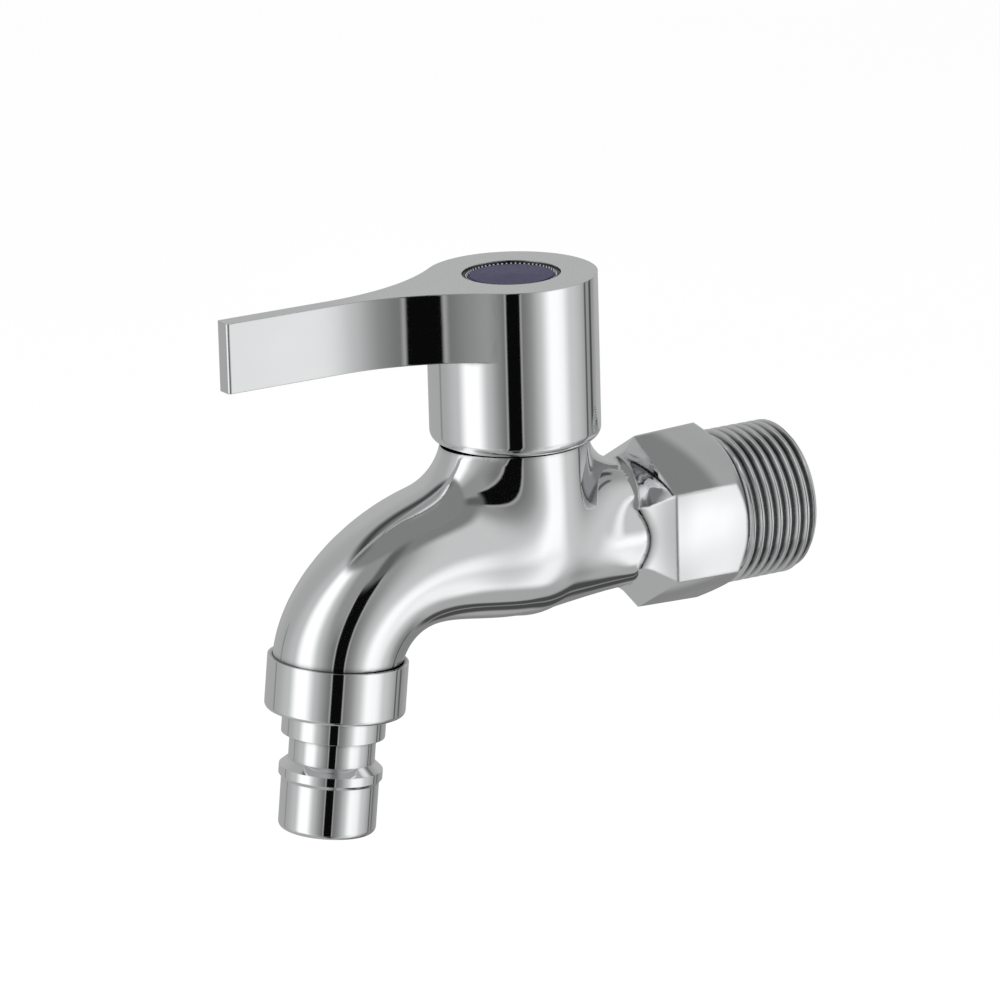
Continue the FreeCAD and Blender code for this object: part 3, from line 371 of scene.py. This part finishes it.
def painted_toothed_ring():
    """A ring of painted shade whose tooth tips carry painted highlights, as the gaps between the teeth lie in
    shadow.
    """
    material, graph, shader = new_material("painted_toothed_ring")
    grain = graph.noise(RING_CELLS, detail=6.0, roughness=0.6)
    place = graph.node("ShaderNodeTexCoord").outputs["Object"]
    middle = (0.0, TAIL_END - VALVE_SETBACK * MM, 0.0)
    level = graph.vector("MULTIPLY", graph.vector("SUBTRACT", place, middle), (1.0, 1.0, 0.0))
    # Painted highlight on each tooth tip, fading into painted shade deeper in the teeth
    highlight_end, shade_start = ((TOOTH_TIP_RADIUS + share * TOOTH_DEPTH) * MM for share in PAINTED_HIGHLIGHT_END)
    tip = graph.rise(graph.length(level), highlight_end, shade_start, 1.0, 0.0)
    graph.feed(shader, "Base Color", graph.colours(tip, graph.colours(grain, *RING_PAINTED_SHADE), TOOTH_PAINTED_HIGHLIGHT))
    graph.feed(shader, "Roughness", graph.varied(grain, RING_GLOSS))
    return material


FINISHES = {
    "chrome": polished("chrome", CHROME, (0.025, 0.05)),
    "chrome_handle": polished("chrome_handle", CHROME, (0.025, 0.05), edge=0.3, satin_top=True),
    "hexagon": polished("hexagon_chrome", CHROME, (0.03, 0.06), edge=0.7, pillow=True),
    "thread": polished("thread_chrome", WORN_CHROME, (0.06, 0.14), wave=0.03, edge=0.1),
    # The relief's floor: a dark chrome that is painted shade in the groove
    "relief": polished("relief_painted_shade", RELIEF_PAINTED_SHADE, (0.2, 0.35)),
    "index_ring": painted_toothed_ring(),
    "brass": coloured("machined_brass", ((0.62, 0.46, 0.22), (0.76, 0.60, 0.34)), (0.22, 0.38), 260.0,
                      stretch=(1.0, 1.0, 12.0), Metallic=1.0),
    "steel": coloured("plain_steel", ((0.52, 0.52, 0.53), (0.66, 0.66, 0.66)), (0.25, 0.4), 500.0,
                      stretch=(1.0, 1.0, 8.0), Metallic=1.0),
    "rubber": coloured("black_rubber", ((0.018, 0.018, 0.019), (0.04, 0.04, 0.04)), (0.55, 0.75), 2400.0,
                       bump=0.02),
    "white_plastic": coloured("white_plastic", ((0.78, 0.79, 0.81), (0.86, 0.87, 0.89)), (0.25, 0.4),
                              1200.0),
    "white_ceramic": coloured("lapped_alumina", ((0.86, 0.85, 0.80), (0.94, 0.93, 0.90)), (0.08, 0.2),
                              1800.0),
    "indigo_plastic": coloured("indigo_plastic", ((0.012, 0.009, 0.045), (0.024, 0.018, 0.085)),
                               (0.2, 0.3), 900.0, Specular_IOR_Level=0.14),
}
CASTING_FINISHES = ("chrome", "thread", "hexagon", "relief")


def ramp(amount, low, high):
    """Goes smoothly from 0 to 1 while the amount goes from low to high."""
    share = max(0.0, min(1.0, (amount - low) / (high - low)))
    return share * share * (3.0 - 2.0 * share)


def depth_of(place):
    """Gives how far in millimetres a place lies from the wall end."""
    return (TAIL_END - place.y) / MM


def outward_of(place):
    """Gives how far in millimetres a place lies from the wall thread's axis."""
    return math.hypot(place.x, place.z) / MM


def reach_of(place):
    """Gives how far in millimetres a place lies in front of the valve's axis."""
    return depth_of(place) - VALVE_SETBACK


def thread_height(turns):
    """Gives the thread's radius in millimetres at a number of pitches along it."""
    zigzag = 1.0 - 4.0 * abs(turns % 1.0 - 0.5)
    middle = THREAD_RADIUS - THREAD_DEPTH / 2
    return middle + THREAD_DEPTH / 2 * max(-1.0, min(1.0, THREAD_STEEPNESS * zigzag))


def thread_radius(along, turn):
    """Gives the tail's radius in millimetres, so far along it and so far round it, in turns."""
    envelope = min(THREAD_RADIUS, THREAD_RADIUS - THREAD_CHAMFER + along,
                   THREAD_RADIUS - (along - RELIEF_START))
    if along == 0.0 or along == RELIEF_END:
        return envelope
    return min(thread_height(along / THREAD_PITCH - turn), envelope)


def thread_mesh():
    """Makes the points and faces of the cut thread between the tail's end face and its relief.

    The columns of points follow the thread, so they start a pitch early and end a pitch late.
    """
    points = []
    columns = int((RELIEF_END / THREAD_PITCH + 2) * SAMPLES_PER_PITCH)
    for step in range(TURN_STEPS + 1):
        turn = step / TURN_STEPS
        angle = -2 * math.pi * turn
        for column in range(columns + 1):
            turns = column / SAMPLES_PER_PITCH - 1.0 + turn
            along = max(0.0, min(RELIEF_END, turns * THREAD_PITCH))
            radius = thread_radius(along, turn) * MM
            across, up = radius * math.sin(angle), radius * math.cos(angle)
            points.append(Vector((across, TAIL_END - along * MM, up)))
    faces = []
    for step in range(TURN_STEPS):
        for column in range(columns):
            corner = step * (columns + 1) + column
            quad = (corner, corner + 1, corner + columns + 2, corner + columns + 1)
            if len({tuple(points[index]) for index in quad}) >= 3:
                faces.append(quad)
    return points, faces


def corners_of(mesh):
    """Gives a mesh's points, and its faces as corners that each have a point's number and a normal."""
    faces = [tuple((mesh.loops[index].vertex_index, mesh.corner_normals[index].vector.copy())
                   for index in face.loop_indices) for face in mesh.polygons]
    return [vertex.co.copy() for vertex in mesh.vertices], faces


def split_finely(points, faces, inside):
    """Halves every long edge of the triangles whose places are all inside."""
    middles = {}
    done = []
    waiting = list(faces)
    while waiting:
        corners = waiting.pop()
        places = [points[index] for index, normal in corners]
        lengths = [(places[side] - places[(side + 1) % 3]).length for side in range(3)]
        longest = lengths.index(max(lengths))
        if len(corners) != 3 or lengths[longest] < LONGEST_EDGE * MM or not all(map(inside, places)):
            done.append(corners)
            continue
        first, second, third = (corners[(longest + step) % 3] for step in range(3))
        edge = (min(first[0], second[0]), max(first[0], second[0]))
        if edge not in middles:
            middles[edge] = len(points)
            points.append((points[first[0]] + points[second[0]]) / 2)
        middle = (middles[edge], (first[1] + second[1]).normalized())
        waiting += [(first, middle, third), (middle, second, third)]
    return done


def redirected(points, faces, change):
    """Gives the faces with the normals that change makes of each corner's place and normal."""
    return [tuple((index, change(points[index], normal)) for index, normal in corners) for corners in faces]


def corner_key(index, normal):
    """Names a corner by its point and its rounded normal."""
    return (index, *(round(number, NORMAL_DIGITS) for number in normal))


def areas_and_shares(points, faces, share_at):
    """Gives the area round each corner that has part in the blend, and how far it takes the average."""
    areas = {}
    shares = {}
    for corners in faces:
        places = [points[index] for index, normal in corners]
        area = (places[1] - places[0]).cross(places[2] - places[0]).length
        for index, normal in corners:
            share = share_at(points[index], normal)
            if share is not None:
                key = corner_key(index, normal)
                areas[key] = areas.get(key, 0.0) + area
                shares[key] = share
    return areas, shares


def blended(points, faces, share_at):
    """Gives the faces with normals averaged over a few millimetres, as grinding and polishing blend forms.

    share_at gives how far a corner takes the average, or None where it has no part in it.
    """
    areas, shares = areas_and_shares(points, faces, share_at)
    keys = list(areas)
    directions = [Vector(key[1:]).normalized() for key in keys]
    tree = KDTree(len(keys))
    for number, key in enumerate(keys):
        tree.insert(points[key[0]], number)
    tree.balance()
    averages = {}
    for key, direction in zip(keys, directions):
        if shares[key] == 0.0:
            continue
        total = Vector((0.0, 0.0, 0.0))
        for place, number, distance in tree.find_range(points[key[0]], BLEND_REACH * MM):
            if directions[number].dot(direction) > SAME_SIDE:
                near = math.exp(-0.5 * (distance / (BLEND_WIDTH * MM)) ** 2)
                total += directions[number] * (near * areas[keys[number]])
        averages[key] = direction.lerp(total.normalized(), shares[key]).normalized()
    return [tuple((index, averages.get(corner_key(index, normal), normal)) for index, normal in corners)
            for corners in faces]


def turned(normal, lean):
    """Turns the normal of a left or right side by a number of degrees towards the front."""
    return Matrix.Rotation(-math.copysign(math.radians(lean), normal.x), 3, "Z") @ normal


def at_foot(place, normal):
    """Gives the normal of a tighter curve between the pyramid's flat sides and the round neck."""
    lean = math.degrees(math.atan2(-normal.y, math.hypot(normal.x, normal.z)))
    near_foot = HEX_END < depth_of(place) < BLEND_FULL and outward_of(place) > NECK_EDGE - FOOT_ROOM
    if not near_foot or not 0.0 < lean < PYRAMID_LEAN:
        return normal
    share = ramp(lean, 0.0, FOOT_LEAN)
    around = math.degrees(math.atan2(normal.z, normal.x))
    around += share * (SIDE_ANGLE * round(around / SIDE_ANGLE) - around)
    lean, around = math.radians(share * PYRAMID_LEAN), math.radians(around)
    return Vector((math.cos(lean) * math.cos(around), -math.sin(lean), math.cos(lean) * math.sin(around)))


def leant_shoulder(place, normal):
    """Gives the normal of the body's sides between tower and spout, which narrow a little to the front."""
    reach = reach_of(place)
    along = ramp(reach, SHOULDER_START, SHOULDER_FULL) * ramp(SHOULDER_END - reach, 0.0, SHOULDER_FADE)
    below = ramp(SHOULDER_TOP - place.z / MM, 0.0, SHOULDER_TOP_FADE)
    share = along * below * ramp(abs(normal.x), *SHOULDER_SIDEWAYS)
    return turned(normal, SHOULDER_LEAN * share) if share > 0.0 else normal


def body_share(place, normal):
    """Gives how far the casting's normals are blended: fully from the neck on, below the tower's seam."""
    if depth_of(place) < BLEND_START or place.z > BLEND_TOP * MM:
        return None
    return ramp(depth_of(place), BLEND_START, BLEND_FULL)


def on_blade(place):
    """Tells whether a place lies on the lever's blade."""
    return reach_of(place) > BLADE_START


def on_side(place, normal):
    """Tells whether a place with its normal lies on a side of the blade, and not on the round sleeve."""
    off_sleeve = math.hypot(place.x / MM, reach_of(place)) > SLEEVE_RADIUS + SLEEVE_ROOM
    faces_sideways = abs(normal.z) < MOST_UPWARD and abs(normal.x) > LEAST_SIDEWAYS
    return off_sleeve and on_blade(place) and faces_sideways


def leant_side(place, normal):
    """Gives the normal of a blade side that is ground to lean a little towards the tip."""
    if not on_side(place, normal):
        return normal
    return turned(normal, BLADE_LEAN * ramp(reach_of(place), BLADE_START, BLADE_FULL))


def side_share(place, normal):
    """Gives how far the blade's side normals are blended: fully away from the sleeve and the tip."""
    reach = reach_of(place)
    if not on_side(place, normal) or reach > BLADE_END:
        return None
    return ramp(reach, BLADE_START, BLADE_FULL) * ramp(BLADE_END - reach, 0.0, BLEND_REACH)


def add_object(name, data):
    """Adds an object with its data to the scene."""
    made = bpy.data.objects.new(name, data)
    bpy.context.scene.collection.objects.link(made)
    return made


def new_piece(name, points, faces, materials):
    """Makes a smooth piece of points and faces, whose corners have a normal or None for the mesh's own."""
    mesh = bpy.data.meshes.new(name)
    mesh.from_pydata(points, [], [tuple(index for index, normal in corners) for corners in faces])
    for material in materials:
        mesh.materials.append(material)
    for face in mesh.polygons:
        face.use_smooth = True
    mesh.update()
    own = [corner.vector.copy() for corner in mesh.corner_normals]
    wanted = [normal for corners in faces for index, normal in corners]
    mesh.normals_split_custom_set([given or found for given, found in zip(wanted, own)])
    return add_object(name, mesh)


def polished_lever(node):
    """Copies the lever with the sides of its blade leant, and blended where they run into the sleeve."""
    points, faces = corners_of(node.data)
    faces = split_finely(points, faces, on_blade)
    faces = redirected(points, faces, leant_side)
    faces = blended(points, faces, side_share)
    piece = new_piece("polished_lever", points, faces, [FINISHES["chrome_handle"]])
    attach(piece, "handle")
    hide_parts("handle_lever")


def on_plain_tail(face):
    """Tells whether a face lies on the plain cylinder, its chamfer or the relief's flank."""
    middle = face.center
    if not 0.0 < depth_of(middle) < RELIEF_END or outward_of(middle) < RELIEF_RADIUS - TAIL_ROOM:
        return False
    return face.normal.dot(Vector((middle.x, 0.0, middle.z)).normalized()) > LEAST_OUTWARD


def on_body(place):
    """Tells whether a place lies on the hexagon or beyond it, and not far above the tower's seam."""
    return depth_of(place) > HEX_START - EDGE_ROOM and place.z < SPLIT_TOP * MM


def on_hexagon(face):
    """Tells whether a face lies on the hexagon or its pyramid."""
    in_length = HEX_START - EDGE_ROOM < depth_of(face.center) < PYRAMID_END
    return in_length and outward_of(face.center) > NECK_EDGE


def in_relief(face):
    """Tells whether a face lies on the floor of the groove between the thread and the hexagon."""
    on_floor = abs(outward_of(face.center) - RELIEF_RADIUS) < FLOOR_ROOM
    return RELIEF_START < depth_of(face.center) < HEX_START and on_floor


def casting_finish(face, first_of_thread):
    """Names the finish of a face of the casting, whose last faces are the thread's."""
    if face.index >= first_of_thread:
        return "thread"
    if on_hexagon(face):
        return "hexagon"
    return "relief" if in_relief(face) else "chrome"


def threaded_casting(node):
    """Copies the casting with the thread cut into its tail and its cast forms blended."""
    points, faces = corners_of(node.data)
    faces = [corners for face, corners in zip(node.data.polygons, faces) if not on_plain_tail(face)]
    faces = split_finely(points, faces, on_body)
    faces = redirected(points, faces, at_foot)
    faces = redirected(points, faces, leant_shoulder)
    faces = blended(points, faces, body_share)
    first_of_thread = len(faces)
    thread_points, thread_faces = thread_mesh()
    faces += [tuple((len(points) + index, None) for index in face) for face in thread_faces]
    points += thread_points
    piece = new_piece("threaded_casting", points, faces, [FINISHES[name] for name in CASTING_FINISHES])
    for face in piece.data.polygons:
        face.material_index = CASTING_FINISHES.index(casting_finish(face, first_of_thread))
    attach(piece, "tap_body")
    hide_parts("body_casting")


def dress_nodes():
    """Gives each CAD node the finish of its material slot, and the index ring painted shade and highlights."""
    for entry in frame["record"]["subparts"]:
        node = nodes[entry["node"]]
        node.data.materials.clear()
        node.data.materials.append(FINISHES[entry["material_slot"]])
    nodes["index_ring"].data.materials[0] = FINISHES["index_ring"]


# The studio as the polished metal sees it, each panel over the ones before it. A panel has its ends, in
# degrees, in the turn from the camera's side and in the height above the horizon, each with the softness
# of its two edges, then its brightness, and how far it leans to the right as it rises.
Panel = namedtuple("Panel", "name turn turn_soft height height_soft bright lean", defaults=(0.0,))
PANELS = [
    Panel("right fill", (62, 100), (10, 17), (-40, 60), (20, 6), 0.62),
    Panel("right wall", (112, 185), (10, 1), (-45, 45), (20, 20), 0.31),
    Panel("back right", (140, 185), (8, 1), (-20, 45), (8, 12), 0.46),
    Panel("back left", (-185, -140), (1, 14), (-6, 45), (10, 12), 0.47),
    Panel("front", (-34, 38), (14, 14), (-90, 90), (5, 5), 0.30),
    Panel("front shade", (-17, 20), (6, 8), (-90, 18), (5, 12), 0.19),
    Panel("front right", (32, 64), (10, 10), (-60, 60), (5, 8), 0.60),
    Panel("left light", (-96, -29), (14, 10), (-40, 58), (6, 4), 0.55),
    Panel("left softbox", (-74, -43), (9, 9), (-30, 57), (6, 3), 1.15),
    Panel("right softbox", (45, 74), (9, 10), (-24, -4), (8, 8), 1.12),
    Panel("right softbox low", (52, 77), (10, 10), (-56, -20), (6, 10), 0.98),
    Panel("right softbox top", (61, 70), (4, 5), (-8, 57), (6, 3), 0.95),
    Panel("ceiling front", (8, 56), (10, 7), (43, 62), (6, 3), 0.22),
    Panel("ceiling", (-181, 181), (1, 1), (59, 91), (3, 6), 0.23),
    Panel("ceiling edge", (-181, -66), (1, 20), (62, 70), (3, 4), 0.06),
    Panel("floor shade", (96, 185), (14, 1), (-44, -24), (6, 8), 0.24),
    Panel("floor dark", (116, 162), (6, 5), (-80, -44), (6, 4), 0.07),
    Panel("floor seam", (137, 142), (2, 2), (-80, -40), (6, 4), 0.26),
    Panel("right seam", (112, 116), (1.2, 1.2), (-40, 24), (3, 4), 0.10),
    Panel("far right seam", (124, 130), (1.5, 1.5), (-22, 24), (3, 4), 0.07),
    Panel("left seam", (-119, -115), (1.5, 1.5), (-30, 8), (4, 5), 0.26),
    Panel("pale edges", (-9, 13.5), (1.2, 1.2), (-40, 36), (3, 4), 0.36, 0.12),
    Panel("camera gap", (-6.7, 11.3), (1.0, 1.0), (-40, 39), (4, 5), 0.003, 0.12),
    Panel("gap top", (-1, 13), (4, 5), (36, 58), (5, 6), 0.12, 0.12),
    Panel("gap foot", (-6, 8), (3, 3), (-66, -44), (5, 6), 0.012),
]
STUDIO_BASE = 0.41


def studio():
    """Makes the world: white to the camera, plain to matt things, a softbox studio to polished metal."""
    world = bpy.data.worlds.new("studio")
    bpy.context.scene.world = world
    world.use_nodes = True
    graph = Graph(world.node_tree)
    ray = graph.node("ShaderNodeTexCoord").outputs["Generated"]
    turn = graph.math("ARCTAN2", graph.dot(ray, tuple(ACROSS)), graph.dot(ray, tuple(TO_CAMERA)))
    turn = graph.math("MULTIPLY", turn, math.degrees(1.0))
    height = graph.math("MULTIPLY", graph.math("ARCSINE", graph.dot(ray, UP)), math.degrees(1.0))
    light = STUDIO_BASE
    for panel in PANELS:
        upright = graph.math("MULTIPLY_ADD", height, -panel.lean, turn)
        mask = graph.product(graph.between(upright, panel.turn, panel.turn_soft)
                             + graph.between(height, panel.height, panel.height_soft))
        light = graph.numbers(mask, light, panel.bright)
        light.node.label = panel.name
    rays = graph.node("ShaderNodeLightPath").outputs
    seen = graph.numbers(rays["Is Glossy Ray"], MATT_WORLD, light)
    seen = graph.numbers(rays["Is Camera Ray"], seen, 1.0)
    backdrop = graph.node("ShaderNodeBackground", {"Color": WHITE, "Strength": seen})
    graph.node("ShaderNodeOutputWorld", {"Surface": backdrop.outputs["Background"]})


def pale_floor():
    """A matt material that is lifted to white for the camera, so that only a shadow shows on it."""
    material = bpy.data.materials.new("pale_floor")
    material.use_nodes = True
    graph = Graph(material.node_tree)
    grey = graph.colours(graph.noise(FLOOR_CELLS), *FLOOR_GREY)
    matt = graph.node("ShaderNodeBsdfDiffuse", {"Color": grey})
    rays = graph.node("ShaderNodeLightPath").outputs
    lift = graph.math("MULTIPLY", rays["Is Camera Ray"], FLOOR_LIFT)
    glow = graph.node("ShaderNodeEmission", {"Color": WHITE, "Strength": lift})
    both = graph.node("ShaderNodeAddShader", {0: matt.outputs[0], 1: glow.outputs[0]})
    graph.node("ShaderNodeOutputMaterial", {"Surface": both.outputs[0]})
    return material


def floor():
    """Lays a round pale floor under the tap, which the polished metal doesn't see."""
    angles = [math.radians(360 / FLOOR_SIDES * step) for step in range(FLOOR_SIDES)]
    points = [(FLOOR_RADIUS * math.cos(angle), FLOOR_RADIUS * math.sin(angle), FLOOR_LEVEL)
              for angle in angles]
    mesh = bpy.data.meshes.new("floor")
    mesh.from_pydata(points, [], [tuple(range(FLOOR_SIDES))])
    mesh.materials.append(pale_floor())
    piece = add_object("floor", mesh)
    piece.visible_glossy = False


def lamp():
    """Hangs one large soft lamp over the tap, which the polished metal doesn't see."""
    light = bpy.data.lights.new("softbox", "AREA")
    light.shape = "DISK"
    light.size = LAMP_SIZE
    light.energy = LAMP_ENERGY
    hung = add_object("softbox", light)
    hung.location = LAMP_PLACE
    hung.rotation_euler = (LAMP_AIM - hung.location).to_track_quat("-Z", "Y").to_euler()
    hung.visible_glossy = False


def camera():
    """Puts the camera where the photograph was taken from."""
    lens = bpy.data.cameras.new("camera")
    lens.sensor_width = CAMERA_SENSOR
    lens.lens = CAMERA_LENS
    lens.clip_end = CAMERA_REACH
    back = CAMERA_RIGHT.cross(CAMERA_UP)
    facing = Matrix((CAMERA_RIGHT, CAMERA_UP, back)).transposed().to_4x4()
    placed = add_object("camera", lens)
    placed.matrix_world = Matrix.Translation(CAMERA_PLACE) @ facing
    bpy.context.scene.camera = placed


dress_nodes()
threaded_casting(nodes["body_casting"])
polished_lever(nodes["handle_lever"])
studio()
floor()
lamp()
camera()
bpy.context.scene.view_settings.view_transform = "Standard"
